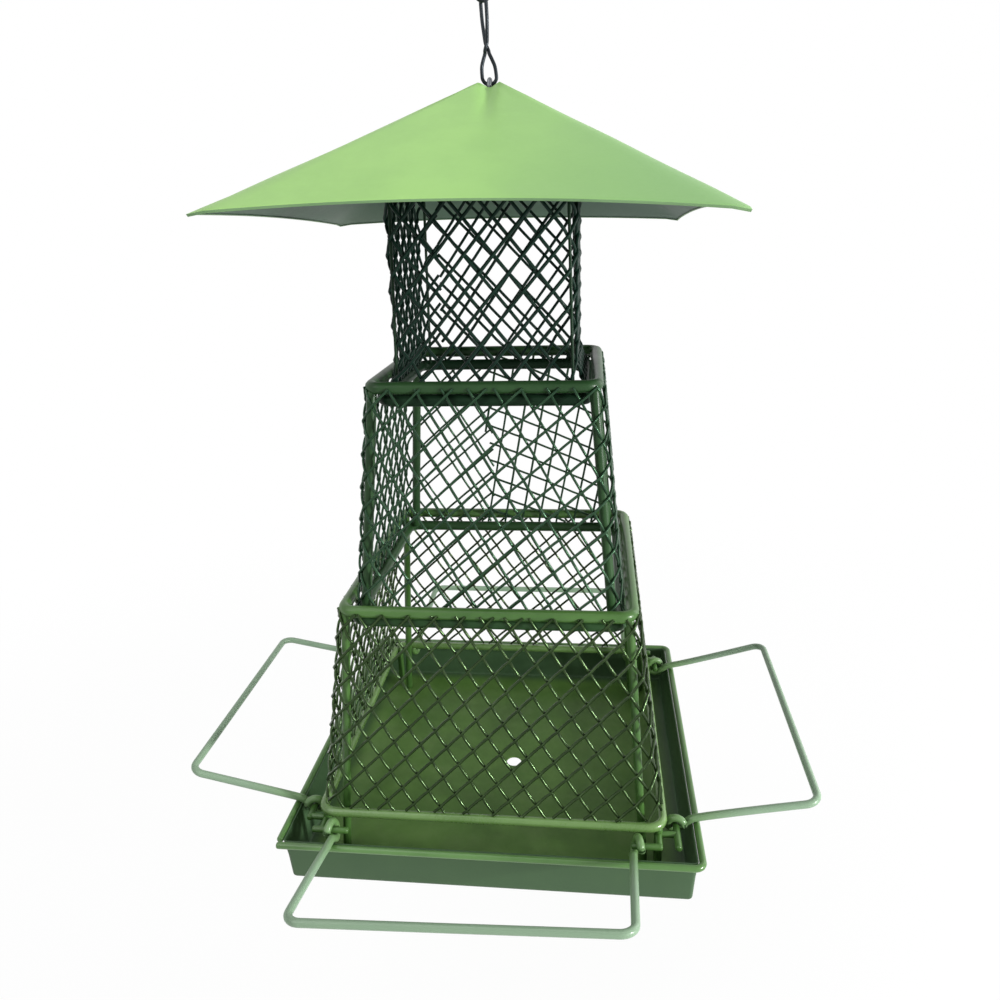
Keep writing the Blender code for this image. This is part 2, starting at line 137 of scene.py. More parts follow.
class Graph:
    def __init__(self, tree):
        self.tree = tree

    def node(self, kind, settings=None, *values, **named):
        made = self.tree.nodes.new(kind)
        for key, setting in (settings or {}).items():
            setattr(made, key, setting)
        open_inputs = [one for one in made.inputs if one.enabled and not one.is_unavailable]
        for socket, value in zip(open_inputs, values):
            self.feed(socket, value)
        for key, value in named.items():
            wanted = key.replace("_", " ").lower()
            self.feed(next(one for one in open_inputs if one.name.lower() == wanted), value)
        return made

    def feed(self, socket, value):
        if isinstance(value, (Value, bpy.types.NodeSocket)):
            self.tree.links.new(getattr(value, "socket", value), socket)
        else:
            socket.default_value = value

    def out(self, kind, settings=None, *values, socket=0, **named):
        made = self.node(kind, settings, *values, **named)
        if isinstance(socket, str):
            return Value(self, made.outputs[socket])
        return Value(self, [one for one in made.outputs if one.enabled][socket])

    def vector(self, operation, *values, socket=0):
        return self.out("ShaderNodeVectorMath", {"operation": operation}, *values, socket=socket)

    def mix(self, factor, first, second):
        return self.out("ShaderNodeMix", {"data_type": "RGBA"}, factor, first, second)


# Finishes
def colour(red, green, blue):
    # A screen colour, 0 to 255, as the linear colour that renders like it
    return tuple(((c / 255 + 0.055) / 1.055) ** 2.4 if c > 10 else c / 255 / 12.92
                 for c in (red, green, blue)) + (1.0,)


def noise_value(graph, place, scale, detail=3.0, roughness=0.55):
    return graph.out("ShaderNodeTexNoise", {"noise_dimensions": "3D"}, place, scale=scale, detail=detail,
                     roughness=roughness, socket="Fac")


DUST = colour(140, 152, 112)


def painted(name, base, dark, light, roughness, metallic=0.0, chips=0.35, coat=0.0, dusty=0.0, gloss=0.4,
            outer_painted_shading=None, shading_span=(0.098, 0.150), round_shading=True, right=None):
    """Sprayed paint on metal: cloudy tone, a fine orange peel, small scuffs that show the primer; it can also
    paint light and shade, as a tone away from the hanging line and one towards the right.
    """
    made = bpy.data.materials.new(name)
    made.use_nodes = True
    graph = Graph(made.node_tree)
    shader = made.node_tree.nodes["Principled BSDF"]
    place = graph.out("ShaderNodeTexCoord", socket="Object")
    clouds = noise_value(graph, place, 26.0, 4.0)
    streaks = noise_value(graph, graph.vector("MULTIPLY", place, (160.0, 160.0, 34.0)), 1.0, 3.0)
    grain = noise_value(graph, place, 620.0, 2.0)
    peel = noise_value(graph, place, 1500.0, 2.0)
    tone = graph.mix(clouds.between(0.34, 0.68), dark, light)
    tone = graph.mix(0.45, tone, base)
    tone = graph.mix(streaks.between(0.45, 0.75) * 0.22, tone, light)
    scuff = noise_value(graph, place, 300.0, 5.0, 0.7).between(0.69, 0.76) * chips
    tone = graph.mix(scuff, tone, tuple(c * 0.35 for c in dark[:3]) + (1.0,))
    if dusty:
        up = graph.out("ShaderNodeSeparateXYZ", None, graph.out("ShaderNodeNewGeometry", socket="Normal"),
                       socket="Z")
        film = up.between(0.5, 1.0) * noise_value(graph, place, 60.0, 5.0).between(0.4, 0.75) * dusty
        tone = graph.mix(film, tone, DUST)
    if outer_painted_shading:
        # painted light and shade: another tone the further it stands out from the hanging line, in place of
        # the sheen and shade that fall there
        if round_shading:
            away = graph.vector("LENGTH", graph.vector("MULTIPLY", place, (1.0, 1.0, 0.0)), socket="Value")
        else:
            spread = graph.vector("ABSOLUTE", place)
            away = graph.out("ShaderNodeSeparateXYZ", None, spread, socket="X").math(
                "MAXIMUM", graph.out("ShaderNodeSeparateXYZ", None, spread, socket="Y"))
        tone = graph.mix(away.between(*shading_span) * 0.85, tone, outer_painted_shading)
    if right:
        # painted light and shade: towards the right the tone goes over to another one, in place of the light
        # changing across the sheet
        shade_to_right = graph.out("ShaderNodeSeparateXYZ", None, place, socket="X").between(-0.02, 0.085)
        tone = graph.mix(shade_to_right * 0.8, tone, right)
    graph.feed(shader.inputs["Base Color"], tone)
    graph.feed(shader.inputs["Roughness"], roughness + (clouds - 0.5) * 0.22 + (grain - 0.5) * 0.12)
    shader.inputs["Metallic"].default_value = metallic
    shader.inputs["Coat Weight"].default_value = coat
    shader.inputs["Coat Roughness"].default_value = 0.16
    shader.inputs["Specular IOR Level"].default_value = gloss
    surface = graph.node("ShaderNodeBump", None, strength=0.32, distance=0.00012,
                         height=peel * 0.6 + grain * 0.4)
    made.node_tree.links.new(surface.outputs["Normal"], shader.inputs["Normal"])
    return made


# Roof: its front is painted darker towards the right, a painted shade
ROOF_PAINT = painted("roof_spray_paint", colour(154, 202, 114), colour(146, 194, 108), colour(162, 210, 120),
                     0.50, chips=0.12, coat=0.08, gloss=0.4, right=colour(122, 166, 106))
# Roof's inside: painted shade, darker than the outside, and a painted reflection of the white surroundings,
# paler towards its outer corners
UNDERSIDE_PAINTED_SHADE = painted("roof_underside", colour(70, 96, 76), colour(60, 86, 66), colour(84, 110, 90),
                      0.55, chips=0.1, gloss=0.2, outer_painted_shading=colour(104, 122, 106), shading_span=(0.095, 0.136),
                      right=colour(88, 106, 94))
# Hem: painted shade, darker than the roof, for the shadowed line under the eave
HEM_PAINTED_SHADE = painted("roof_hem", colour(104, 138, 92), colour(92, 124, 84), colour(118, 152, 104), 0.5,
                    chips=0.1)
FRAME_PAINT = painted("frame_enamel", colour(66, 103, 47), colour(52, 86, 38), colour(80, 117, 58), 0.32,
                      coat=0.12, gloss=0.3)
# Painted shade: darker copies of the frame enamel, for the middle tier and, darker still, for the top tier
# under the roof
MIDDLE_FRAME_PAINTED_SHADE = painted("dark_frame_enamel", colour(40, 70, 38), colour(32, 58, 32), colour(50, 82, 46), 0.36,
                     gloss=0.2)
TOP_FRAME_PAINTED_SHADE = painted("shaded_frame_enamel", colour(24, 46, 30), colour(18, 38, 24), colour(32, 56, 36), 0.42,
                     gloss=0.1)
MESH_PAINT = painted("mesh_enamel", colour(46, 65, 34), colour(36, 54, 26), colour(56, 77, 42), 0.20,
                     metallic=0.7, gloss=0.05, coat=0.2)
# Painted light and shade: copies of the mesh enamel set for the light on each tier, the top tier's much
# darker in the roof's shade
MIDDLE_MESH_PAINTED_LIGHT = painted("dark_mesh_enamel", colour(46, 72, 52), colour(36, 60, 42), colour(58, 84, 62), 0.26,
                    metallic=0.5, gloss=0.1)
TOP_MESH_PAINTED_SHADE = painted("shaded_mesh_enamel", colour(20, 40, 32), colour(14, 32, 24), colour(28, 50, 40), 0.36,
                    gloss=0.1)
# Tray: painted shade, darker on its walls and at the floor's edge beside them
TRAY_PAINT = painted("tray_enamel", colour(84, 120, 54), colour(70, 104, 44), colour(100, 136, 68), 0.42,
                     coat=0.03, dusty=0.12, gloss=0.2, outer_painted_shading=colour(60, 84, 62), shading_span=(0.084, 0.094),
                     round_shading=False)
# Painted light: a lighter copy of the frame enamel for the base ring, where more light falls
BASE_RING_PAINTED_LIGHT = painted("base_ring_enamel", colour(94, 128, 68), colour(80, 112, 56), colour(110, 144, 82), 0.28,
                     coat=0.3, gloss=0.4)
RIM_PAINT = painted("rim_enamel", colour(80, 120, 60), colour(68, 106, 50), colour(94, 134, 74), 0.34,
                    coat=0.25)
# Perches: painted sheen, paler towards their outer ends
PERCH_PAINT = painted("perch_enamel", colour(92, 130, 66), colour(78, 116, 54), colour(106, 144, 80), 0.32,
                      coat=0.15, gloss=0.3, outer_painted_shading=colour(136, 160, 137), shading_span=(0.102, 0.146))
CHAIN_METAL = painted("blackened_chain", colour(30, 36, 40), colour(20, 26, 30), colour(48, 54, 58), 0.34,
                      metallic=0.65, chips=0.2)
ZINC = painted("dull_zinc", colour(120, 124, 126), colour(96, 100, 104), colour(150, 154, 156), 0.36,
               metallic=0.85, chips=0.2)


# Bent wire and rod
def turned(spot, quarter):
    # A quarter turn about the hanging line for each side
    return Matrix.Rotation(quarter * pi / 2, 4, "Z") @ Vector(spot)


def filleted(corners, bend, closed=False, steps=10):
    # A path through corners, each one bent round to the given radius
    corners = [Vector(one) for one in corners]
    count = len(corners)
    path = []
    for number, corner in enumerate(corners):
        if not closed and number in (0, count - 1):
            path.append(corner)
            continue
        back = (corners[number - 1] - corner).normalized()
        ahead = (corners[(number + 1) % count] - corner).normalized()
        half = acos(max(-1.0, min(1.0, back.dot(ahead)))) / 2
        size = bend[number] if isinstance(bend, (list, tuple)) else bend
        if half > pi / 2 - 0.01 or not size:
            path.append(corner)
            continue
        centre = corner + (back + ahead).normalized() * (size / sin(half))
        start = corner + back * (size / tan(half)) - centre
        axis = start.cross(corner + ahead * (size / tan(half)) - centre).normalized()
        for k in range(steps + 1):
            path.append(centre + Matrix.Rotation((pi - 2 * half) * k / steps, 3, axis) @ start)
    return path


def arc(centre, radius, start, end, steps):
    return [(centre[0] + radius * cos(start + (end - start) * k / steps),
             centre[1] + radius * sin(start + (end - start) * k / steps)) for k in range(steps + 1)]


def tube(path, radius, closed=False, fineness=4):
    # The mesh of a round wire along a path; its cut ends are slightly rounded
    curve = bpy.data.curves.new("wire_path", "CURVE")
    curve.dimensions = "3D"
    curve.bevel_depth = radius
    curve.bevel_resolution = fineness
    curve.use_fill_caps = True
    path = [Vector(one) for one in path]
    sizes = [1.0] * len(path)
    if not closed:
        for last, before in ((0, 1), (-1, -2)):
            away = (path[last] - path[before]).normalized()
            tip = path[last].copy()
            shape = ((0.0, 0.55), (0.12, 0.80), (0.34, 0.95), (0.60, 1.0))
            spots = [(tip - away * radius * inset, size) for inset, size in shape]
            if last == 0:
                path[0:1] = [spot for spot, _ in spots]
                sizes[0:1] = [size for _, size in spots]
            else:
                path[-1:] = [spot for spot, _ in reversed(spots)]
                sizes[-1:] = [size for _, size in reversed(spots)]
    line = curve.splines.new("POLY")
    line.points.add(len(path) - 1)
    for point, spot, size in zip(line.points, path, sizes):
        point.co = (*spot, 1.0)
        point.radius = size
    line.use_cyclic_u = closed
    holder = bpy.data.objects.new("wire_path", curve)
    mesh = bpy.data.meshes.new_from_object(holder)
    bpy.data.objects.remove(holder)
    bpy.data.curves.remove(curve)
    return mesh


def gather(name, meshes, material, body, nodes):
    # One piece from several meshes, merged, its faces outward
    shape = bmesh.new()
    for mesh in meshes:
        shape.from_mesh(mesh)
    bmesh.ops.remove_doubles(shape, verts=shape.verts, dist=0.000002)
    bmesh.ops.recalc_face_normals(shape, faces=shape.faces)
    merged = bpy.data.meshes.new(name)
    shape.to_mesh(merged)
    shape.free()
    merged.shade_smooth()
    piece = bpy.data.objects.new(name, merged)
    bpy.context.scene.collection.objects.link(piece)
    merged.materials.append(material)
    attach(piece, body)
    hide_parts(*nodes)
    return piece


def square(half, height, bend):
    corners = [(half, -half, height), (half, half, height), (-half, half, height), (-half, -half, height)]
    return filleted(corners, bend, True, 8)


def sheet_mesh(name, grid, first_slot=0):
    # The mesh of closed rows of spots, each row joined to the next; the first strip may take its own finish
    shell = bmesh.new()
    rows = [[shell.verts.new(spot) for spot in line] for line in grid]
    for number, (lower, upper) in enumerate(zip(rows, rows[1:])):
        for k in range(len(lower)):
            after = (k + 1) % len(lower)
            face = shell.faces.new((lower[k], lower[after], upper[after], upper[k]))
            face.material_index = 0 if number else first_slot
    mesh = bpy.data.meshes.new(name)
    shell.to_mesh(mesh)
    shell.free()
    return mesh


def thicken(piece, worn, inner_slot=0):
    # A sheet's thickness, inward from the drawn face, and its edges worn round
    thick = piece.modifiers.new("sheet", "SOLIDIFY")
    thick.thickness = SHEET
    thick.offset = -1
    thick.use_even_offset = False
    thick.material_offset = inner_slot
    edge = piece.modifiers.new("worn_edges", "BEVEL")
    edge.width = worn
    edge.segments = 2
    edge.limit_method = "ANGLE"
    edge.angle_limit = radians(50)


# Woven mesh of a tier, by geometry nodes. A flat mesh is wrapped round the tier as a fan-shaped sheet, so
# that its wires turn a little from face to face, and its two edges lap over each other in a seam.
def mesh_tree():
    tree = bpy.data.node_groups.new("woven_tier", "GeometryNodeTree")
    sizes = {}
    face = tree.interface
    face.new_socket("Geometry", in_out="INPUT", socket_type="NodeSocketGeometry")
    for name, kind in (
            ("Right Wires", "Int"), ("Left Wires", "Int"), ("Right First", "Float"), ("Left First", "Float"),
            ("Right Lean", "Float"), ("Left Lean", "Float"), ("Pitch", "Float"), ("Fan Radius", "Float"),
            ("Fan Turn", "Float"), ("Slope Length", "Float"), ("Seam Left", "Float"), ("Seam Right", "Float"),
            ("Points", "Int"), ("Top Width", "Float"), ("Foot Width", "Float"), ("Top Bend", "Float"),
            ("Foot Bend", "Float"), ("Top Height", "Float"), ("Foot Height", "Float"), ("Flare", "Float"),
            ("Wire", "Float"), ("Crimp", "Float"), ("Material", "Material")):
        sizes[name] = face.new_socket(name, in_out="INPUT", socket_type="NodeSocket" + kind).identifier
    face.new_socket("Geometry", in_out="OUTPUT", socket_type="NodeSocketGeometry")
    graph = Graph(tree)
    given = graph.node("NodeGroupInput")
    size = {name: Value(graph, given.outputs[name]) for name in sizes}

    def outline(end):
        # A square with bent corners, walked round anticlockwise
        flat = graph.out("GeometryNodeCurvePrimitiveQuadrilateral", {"mode": "RECTANGLE"},
                         size[end + " Width"], size[end + " Width"])
        return graph.out("GeometryNodeFilletCurve", {"mode": "POLY"}, flat, count=10,
                         radius=size[end + " Bend"])

    def kept(geometry, name, value):
        return graph.out("GeometryNodeStoreNamedAttribute", {"data_type": "FLOAT", "domain": "POINT"},
                         geometry, name=name, value=value)

    def recalled(name):
        return graph.out("GeometryNodeInputNamedAttribute", {"data_type": "FLOAT"}, name)

    outlines = outline("Top"), outline("Foot")
    families = []
    for own, other, way in (("Right", "Left", -1.0), ("Left", "Right", 1.0)):
        starts = graph.out("GeometryNodeMeshLine", {"mode": "OFFSET", "count_mode": "TOTAL"},
                           count=size[own + " Wires"])
        starts = kept(starts, "number", graph.out("GeometryNodeInputIndex"))
        upright = graph.out("GeometryNodeCurvePrimitiveLine", {"mode": "POINTS"}, (0, 0, 0), (0, 0, 1))
        upright = graph.out("GeometryNodeResampleCurve", {"mode": "COUNT"}, upright, count=size["Points"])
        wires = graph.out("GeometryNodeInstanceOnPoints", None, starts, instance=upright)
        wires = graph.out("GeometryNodeRealizeInstances", None, wires)
        wires = kept(wires, "share", graph.out("GeometryNodeSplineParameter", socket="Factor"))
        number, share = recalled("number"), recalled("share")
        # where each wire lies on the fan, as an angle from the middle of the front
        radius = size["Fan Radius"] + (0.5 - share) * size["Slope Length"]
        offset = (number + size[own + " First"]) * size["Pitch"] / radius
        angle = (size[own + " Lean"] - offset.math("ARCCOSINE")) * way
        crossed = ((angle + size[other + " Lean"] * way).math("COSINE") * radius / size["Pitch"]
                   - size[other + " First"])
        cut = angle.math("LESS_THAN", size["Seam Left"]).math(
            "MAXIMUM", angle.math("GREATER_THAN", size["Seam Right"]))
        wires = graph.out("GeometryNodeDeleteGeometry", {"domain": "POINT"}, wires, cut)
        around = (angle / size["Fan Turn"] + 0.625).math("FRACT")
        spots = []
        for line in outlines:
            sample = graph.node("GeometryNodeSampleCurve", {"mode": "FACTOR", "use_all_curves": True}, line,
                                factor=around)
            spots.append(Value(graph, sample.outputs["Position"]))
        heading = Value(graph, sample.outputs["Tangent"])
        reach = (share / size["Flare"]).math("MINIMUM", 1.0)
        spread = graph.out("ShaderNodeMix", {"data_type": "VECTOR"}, reach, spots[1], spots[0])
        height = size["Foot Height"] + (size["Top Height"] - size["Foot Height"]) * share
        middle = graph.vector("ADD", spread, graph.out("ShaderNodeCombineXYZ", None, 0.0, 0.0, height))
        outward = graph.vector("CROSS_PRODUCT", heading, (0.0, 0.0, 1.0))
        # at every crossing the wires that run down to the left pass outside the others
        near = ((crossed * 2 * pi).math("COSINE") * 0.5 + 0.5) ** 3.0
        wave = near * size["Crimp"] * way
        swing = graph.vector("SCALE", outward)
        graph.feed(swing.socket.node.inputs["Scale"], wave)
        wires = graph.out("GeometryNodeSetPosition", None, wires, position=graph.vector("ADD", middle, swing))
        section = graph.out("GeometryNodeCurvePrimitiveCircle", {"mode": "RADIUS"}, resolution=6,
                            radius=size["Wire"])
        families.append(graph.out("GeometryNodeCurveToMesh", None, wires, section, fill_caps=True))
    both = graph.node("GeometryNodeJoinGeometry")
    for wires in families:
        graph.feed(both.inputs[0], wires)
    whole = graph.out("GeometryNodeRealizeInstances", None, Value(graph, both.outputs[0]))
    whole = graph.out("GeometryNodeSetMaterial", None, whole, material=size["Material"])
    last = graph.node("NodeGroupOutput")
    graph.feed(last.inputs["Geometry"], whole)
    return tree, sizes


WOVEN, WOVEN_INPUTS = mesh_tree()
# Per tier: how far the wires lean at the front, those that run down to the right and to the left, how far
# they turn from one face to the next, the seam's place in faces from the front, the pitch, and where one
# wire of each kind meets the top ring, from the middle of the front
WEAVES = {"top_tier": (radians(39.5), radians(40.5), radians(1.5), -1.5, 0.0096, -0.02281, 0.06313),
          "middle_tier": (radians(31.1), radians(47.8), radians(9.8), -1.83, 0.0099, -0.02157, 0.09120),
          "bottom_tier": (radians(33.5), radians(44.0), radians(6.7), -2.5, 0.00966, -0.03954, 0.03777)}
UPRIGHT_LAP = 0.0004              # how far each edge of a mesh runs past the seam, on an upright tier
SLOPED_LAP = 0.0022               # and on a sloped one
CRIMP = 0.8                       # how far a wire swings out at a crossing, in radii
WIRE_STEP = 0.00095               # rise from one point of a wire to the next


def woven_tier(tier, material, top, foot, foot_bend, top_bend=0.0090, wire=WIRE, flare=1.0):
    # top and foot are (half width, height); a mesh with a flare under 1 is upright above that share of it
    right_tilt, left_tilt, face_turn, seam, pitch, *ticks = WEAVES[tier]
    rise = top[1] - foot[1]
    upright = flare < 1
    round_top = 8 * top[0] - (8 - 2 * pi) * top_bend
    round_foot = 8 * foot[0] - (8 - 2 * pi) * foot_bend
    around = round_top if upright else (round_top + round_foot) / 2
    slope = rise if upright else hypot(rise, foot[0] - top[0])
    radius = around / 4 / face_turn
    seams = seam * face_turn, (seam + 4) * face_turn
    lap = (UPRIGHT_LAP if upright else SLOPED_LAP) / radius
    leans = pi / 2 - right_tilt, pi / 2 - left_tilt
    counts, firsts = [], []
    for lean, way, tick in zip(leans, (1, -1), ticks):
        reaches = sorted((radius + slope / 2 * end) * cos(angle + lean * way)
                         for angle in seams for end in (-1, 1))
        first = reaches[0] // pitch
        met = (radius - slope / 2) * cos(4 * face_turn * tick / round_top + lean * way) / pitch
        firsts.append(first + met % 1.0)
        counts.append(ceil((reaches[-1] - reaches[0]) / pitch) + 1)
    values = {"Right Wires": counts[0], "Left Wires": counts[1], "Right First": firsts[0],
              "Left First": firsts[1], "Right Lean": leans[0], "Left Lean": leans[1], "Pitch": pitch,
              "Fan Radius": radius, "Fan Turn": 4 * face_turn, "Slope Length": slope,
              "Seam Left": seams[0] - lap, "Seam Right": seams[1] + lap, "Points": ceil(rise / WIRE_STEP),
              "Top Width": 2 * top[0], "Foot Width": 2 * foot[0], "Top Bend": top_bend,
              "Foot Bend": foot_bend, "Top Height": top[1], "Foot Height": foot[1], "Flare": flare,
              "Wire": wire, "Crimp": wire * CRIMP, "Material": material}
    holder = bpy.data.objects.new(f"{tier}_mesh", bpy.data.meshes.new(f"{tier}_mesh_start"))
    bpy.context.scene.collection.objects.link(holder)
    weave = holder.modifiers.new("weave", "NODES")
    weave.node_group = WOVEN
    for name, value in values.items():
        weave[WOVEN_INPUTS[name]] = value
    bpy.context.view_layer.update()
    plain = bpy.data.meshes.new_from_object(holder.evaluated_get(bpy.context.evaluated_depsgraph_get()))
    holder.modifiers.remove(weave)
    for name in [one.name for one in plain.attributes if one.name in ("number", "share")]:
        plain.attributes.remove(plain.attributes[name])
    holder.data = plain
    plain.shade_smooth()
    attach(holder, tier)
    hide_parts(*[f"{tier}_panel_{side}" for side in SIDES])
    return holder


# Where the rings lie: half width of the rod's centreline, and height
TOP_RING = (0.0405, level("top_tier_ring_top"))
FLANGE = (0.0453, level("top_tier_ring_base"))
MIDDLE_RING = (0.0496, level("middle_tier_ring_top"))
MIDDLE_FOOT = (0.0618, level("middle_tier_ring_base"))
BOTTOM_RING = (0.0662, level("bottom_tier_ring_top"))
BASE_RING = (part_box("bottom_tier_ring_base")[1].x - BASE_ROD, level("bottom_tier_ring_base"))


def ring(node, place, rod, bend, body, material, drop=(0.0, 0.0, 0.0, 0.0)):
    # drop is added to the height of each corner
    path = square(place[0], place[1], bend)
    for spot in path:
        across, deep = (spot.x / place[0] + 1) / 2, (spot.y / place[0] + 1) / 2
        spot.z += ((drop[0] * (1 - across) + drop[1] * across) * (1 - deep)
                   + (drop[3] * (1 - across) + drop[2] * across) * deep)
    return gather(node + "_rod", [tube(path, rod, closed=True)], material, body, [node])


# The roof hangs a little crooked, so the top ring's corners follow it: front left first and on to the right
TOP_DROP = (-0.0002, -0.0012, -0.0030, -0.0018)

ring("top_tier_ring_top", TOP_RING, ROD, RING_BEND, "top_tier", TOP_FRAME_PAINTED_SHADE, TOP_DROP)
ring("top_tier_ring_base", FLANGE, ROD, RING_BEND, "top_tier", TOP_FRAME_PAINTED_SHADE)
ring("middle_tier_ring_top", MIDDLE_RING, ROD, RING_BEND, "middle_tier", MIDDLE_FRAME_PAINTED_SHADE)
ring("middle_tier_ring_base", MIDDLE_FOOT, ROD, RING_BEND, "middle_tier", MIDDLE_FRAME_PAINTED_SHADE)
ring("bottom_tier_ring_top", BOTTOM_RING, ROD, RING_BEND, "bottom_tier", FRAME_PAINT)
ring("bottom_tier_ring_base", BASE_RING, BASE_ROD, BASE_BEND, "bottom_tier", BASE_RING_PAINTED_LIGHT)


def posts(tier, top, foot, radius, material):
    # Four rods, each let into the underside of the ring above it
    rods = []
    for quarter in range(4):
        high = turned((top[0], -top[0], top[1]), quarter)
        low = turned((foot[0], -foot[0], foot[1]), quarter)
        rods.append(tube([low.lerp(high, k / 6) for k in range(7)], radius))
    nodes = [f"{tier}_post_{corner}" for corner in CORNERS]
    gather(f"{tier}_posts", rods, material, tier, nodes)


# Where each tier's posts and mesh end, above and below: half width and height. Posts stand inside the
# corners of the rings that they join, and a mesh runs outside them.
INTO_RING = 0.0012
TOP_POSTS = (0.0370, TOP_RING[1] - 0.0042), (0.0392, FLANGE[1] + 0.0020)
MIDDLE_POSTS = ((MIDDLE_RING[0] - 0.0012, MIDDLE_RING[1] - INTO_RING),
                (MIDDLE_FOOT[0] - 0.0045, MIDDLE_FOOT[1] + INTO_RING))
BOTTOM_POSTS = ((BOTTOM_RING[0] - 0.0014, BOTTOM_RING[1] - INTO_RING), (BASE_RING[0] - 0.0080, FOOT + SHEET))
TOP_MESH = (0.0404, TOP_RING[1] - MESH_OFF), (0.0444, FLANGE[1] + MESH_OFF)
MIDDLE_MESH = ((MIDDLE_RING[0] + MESH_OFF, MIDDLE_RING[1]),
               (MIDDLE_FOOT[0] + 0.0005, MIDDLE_FOOT[1] + 0.0030))
BOTTOM_MESH = ((BOTTOM_RING[0] + MESH_OFF, BOTTOM_RING[1]), (BASE_RING[0] + 0.0002, BASE_RING[1] + MESH_OFF))

posts("top_tier", *TOP_POSTS, TOP_POST, TOP_FRAME_PAINTED_SHADE)
posts("middle_tier", *MIDDLE_POSTS, MIDDLE_POST, MIDDLE_FRAME_PAINTED_SHADE)
posts("bottom_tier", *BOTTOM_POSTS, POST, FRAME_PAINT)

woven_tier("top_tier", TOP_MESH_PAINTED_SHADE, *TOP_MESH, foot_bend=0.0095, top_bend=0.0085, wire=TOP_WIRE, flare=0.12)
woven_tier("middle_tier", MIDDLE_MESH_PAINTED_LIGHT, *MIDDLE_MESH, foot_bend=0.0105)
woven_tier("bottom_tier", MESH_PAINT, *BOTTOM_MESH, foot_bend=0.0125, wire=BOTTOM_WIRE)


# Roof: one folded sheet with a hem, crooked on its ring, bowed up along each eave, dented round its opening
ROOF_HALF = 0.0974
ROOF_TURN = radians(1.76)
ROOF_MIDDLE = (0.0009, -0.0002)
# heights of the eaves' corners above the tray's underside, front left first and on round to the right
EAVE_CORNERS = (0.30244, 0.29798, 0.29400, 0.29648)
EAVE_BOW = {"front": 0.0038, "right": 0.0038, "back": 0.0024, "left": 0.0013}
APEX = 0.3526
APEX_X = 0.0011                   # the opening sits a little to the right
ROOF_STEPS, ROOF_ROWS = 28, 26    # spots along an eave, and rows from eave to opening
RIDGE_FOLD = 0.0009               # ridges are folded, not sharp: their edge is pulled in
RIDGE_FROM = 0.93                 # from this share of the way to it
ROOF_WAVE = 0.00055               # unevenness of the sheet
DENTED = 0.16                     # the share next to the opening that is dented
DENT_SAG, DENT_DEPTH = 0.0003, 0.0007
CREASE_FROM = 0.55                # the front crease runs down to this share
CREASE_DEPTH, CREASE_X, CREASE_WIDTH = 0.0019, 0.0004, 0.0026
DRAWN = 0.0034                    # how far the front left corner is drawn out
HEM_SLOT = 2                      # finishes are outside, inside, hem and the hem's inside
ROOF_WORN = 0.00022


def roof_height(across, deep, share, bow):
    front_left, front_right, back_right, back_left = EAVE_CORNERS
    x, y = (across + 1) / 2, (deep + 1) / 2
    eave = (front_left * (1 - x) + front_right * x) * (1 - y) + (back_left * (1 - x) + back_right * x) * y
    return FOOT + (eave + bow) * (1 - share) + APEX * share


def roof_spot(quarter, u, share, hem):
    # u runs from -1 to 1 along a face, share from 0 at the eave to 1 at the opening
    half = ROOF_HALF * (1 - share) + OPENING_HALF * share - (HEM_INSET if hem else 0.0)
    fold = RIDGE_FOLD * max(0.0, (abs(u) - RIDGE_FROM) / (1 - RIDGE_FROM)) ** 2
    flat = turned((u * (half - fold * 0.6), -(half - fold * 0.6), 0), quarter)
    bow = EAVE_BOW[SIDES[quarter]] * (1 - u * u) * (1 - share) ** 0.8
    z = roof_height(flat.x / half, flat.y / half, share, bow)
    z -= fold * 0.7 * (1 - share * 0.5)
    wave = noise.noise(Vector((flat.x * 22, flat.y * 22, quarter * 1.7))) * ROOF_WAVE
    z += wave * min(1.0, share * 8) * min(1.0, (1 - share) * 6)
    near = max(0.0, 1 - (1 - share) / DENTED)
    z -= DENT_SAG * near * near * (1 - u * u) + DENT_DEPTH * near * noise.noise(flat * 240)
    if quarter == 0:
        down = max(0.0, (share - CREASE_FROM) / (1 - CREASE_FROM))
        z -= CREASE_DEPTH * down * exp(-((flat.x - CREASE_X) / CREASE_WIDTH) ** 2)
    if hem:
        z -= HEM
    flat.x -= DRAWN * max(0.0, -flat.x / ROOF_HALF - 0.5) * max(0.0, -flat.y / ROOF_HALF - 0.5) * 4
    spot = Matrix.Rotation(ROOF_TURN, 4, "Z") @ Vector((flat.x, flat.y, z))
    return spot + Vector((ROOF_MIDDLE[0] + APEX_X * share, ROOF_MIDDLE[1], 0))


def roof():
    rows = [(0.0, True), (0.0, False)] + [((k / ROOF_ROWS) ** 1.15, False) for k in range(1, ROOF_ROWS + 1)]
    grid = [[roof_spot(quarter, -1 + 2 * k / ROOF_STEPS, share, hem)
             for quarter in range(4) for k in range(ROOF_STEPS)] for share, hem in rows]
    mesh = sheet_mesh("roof_sheet", grid, HEM_SLOT)
    piece = gather("roof_sheet", [mesh], ROOF_PAINT, "roof", ["roof"])
    for finish in (UNDERSIDE_PAINTED_SHADE, HEM_PAINTED_SHADE, UNDERSIDE_PAINTED_SHADE):
        piece.data.materials.append(finish)
    thicken(piece, ROOF_WORN, 1)


roof()


# Tray: a folded pan with a drain hole, and a rod round the outside of its edge
def outline_spots(half, bend, straight=18, corner=6):
    # Spots round a bent square, the same number on every square, from the front right corner on
    spots = []
    for quarter in range(4):
        inner = half - bend
        for x, y in arc((inner, -inner), bend, -pi / 2, 0, corner):
            spots.append(turned((x, y, 0), quarter))
        for k in range(1, straight):
            spots.append(turned((half, -inner + 2 * inner * k / straight, 0), quarter))
    return spots


FLOOR_SHARES = (0.04, 0.12, 0.25, 0.4, 0.55, 0.7, 0.82, 0.9, 0.955, 0.985, 1.0)
TRAY_DENT = 0.00035               # unevenness of its walls
FLOOR_WAVE = 0.00045              # and of its floor
TRAY_WORN = 0.0002


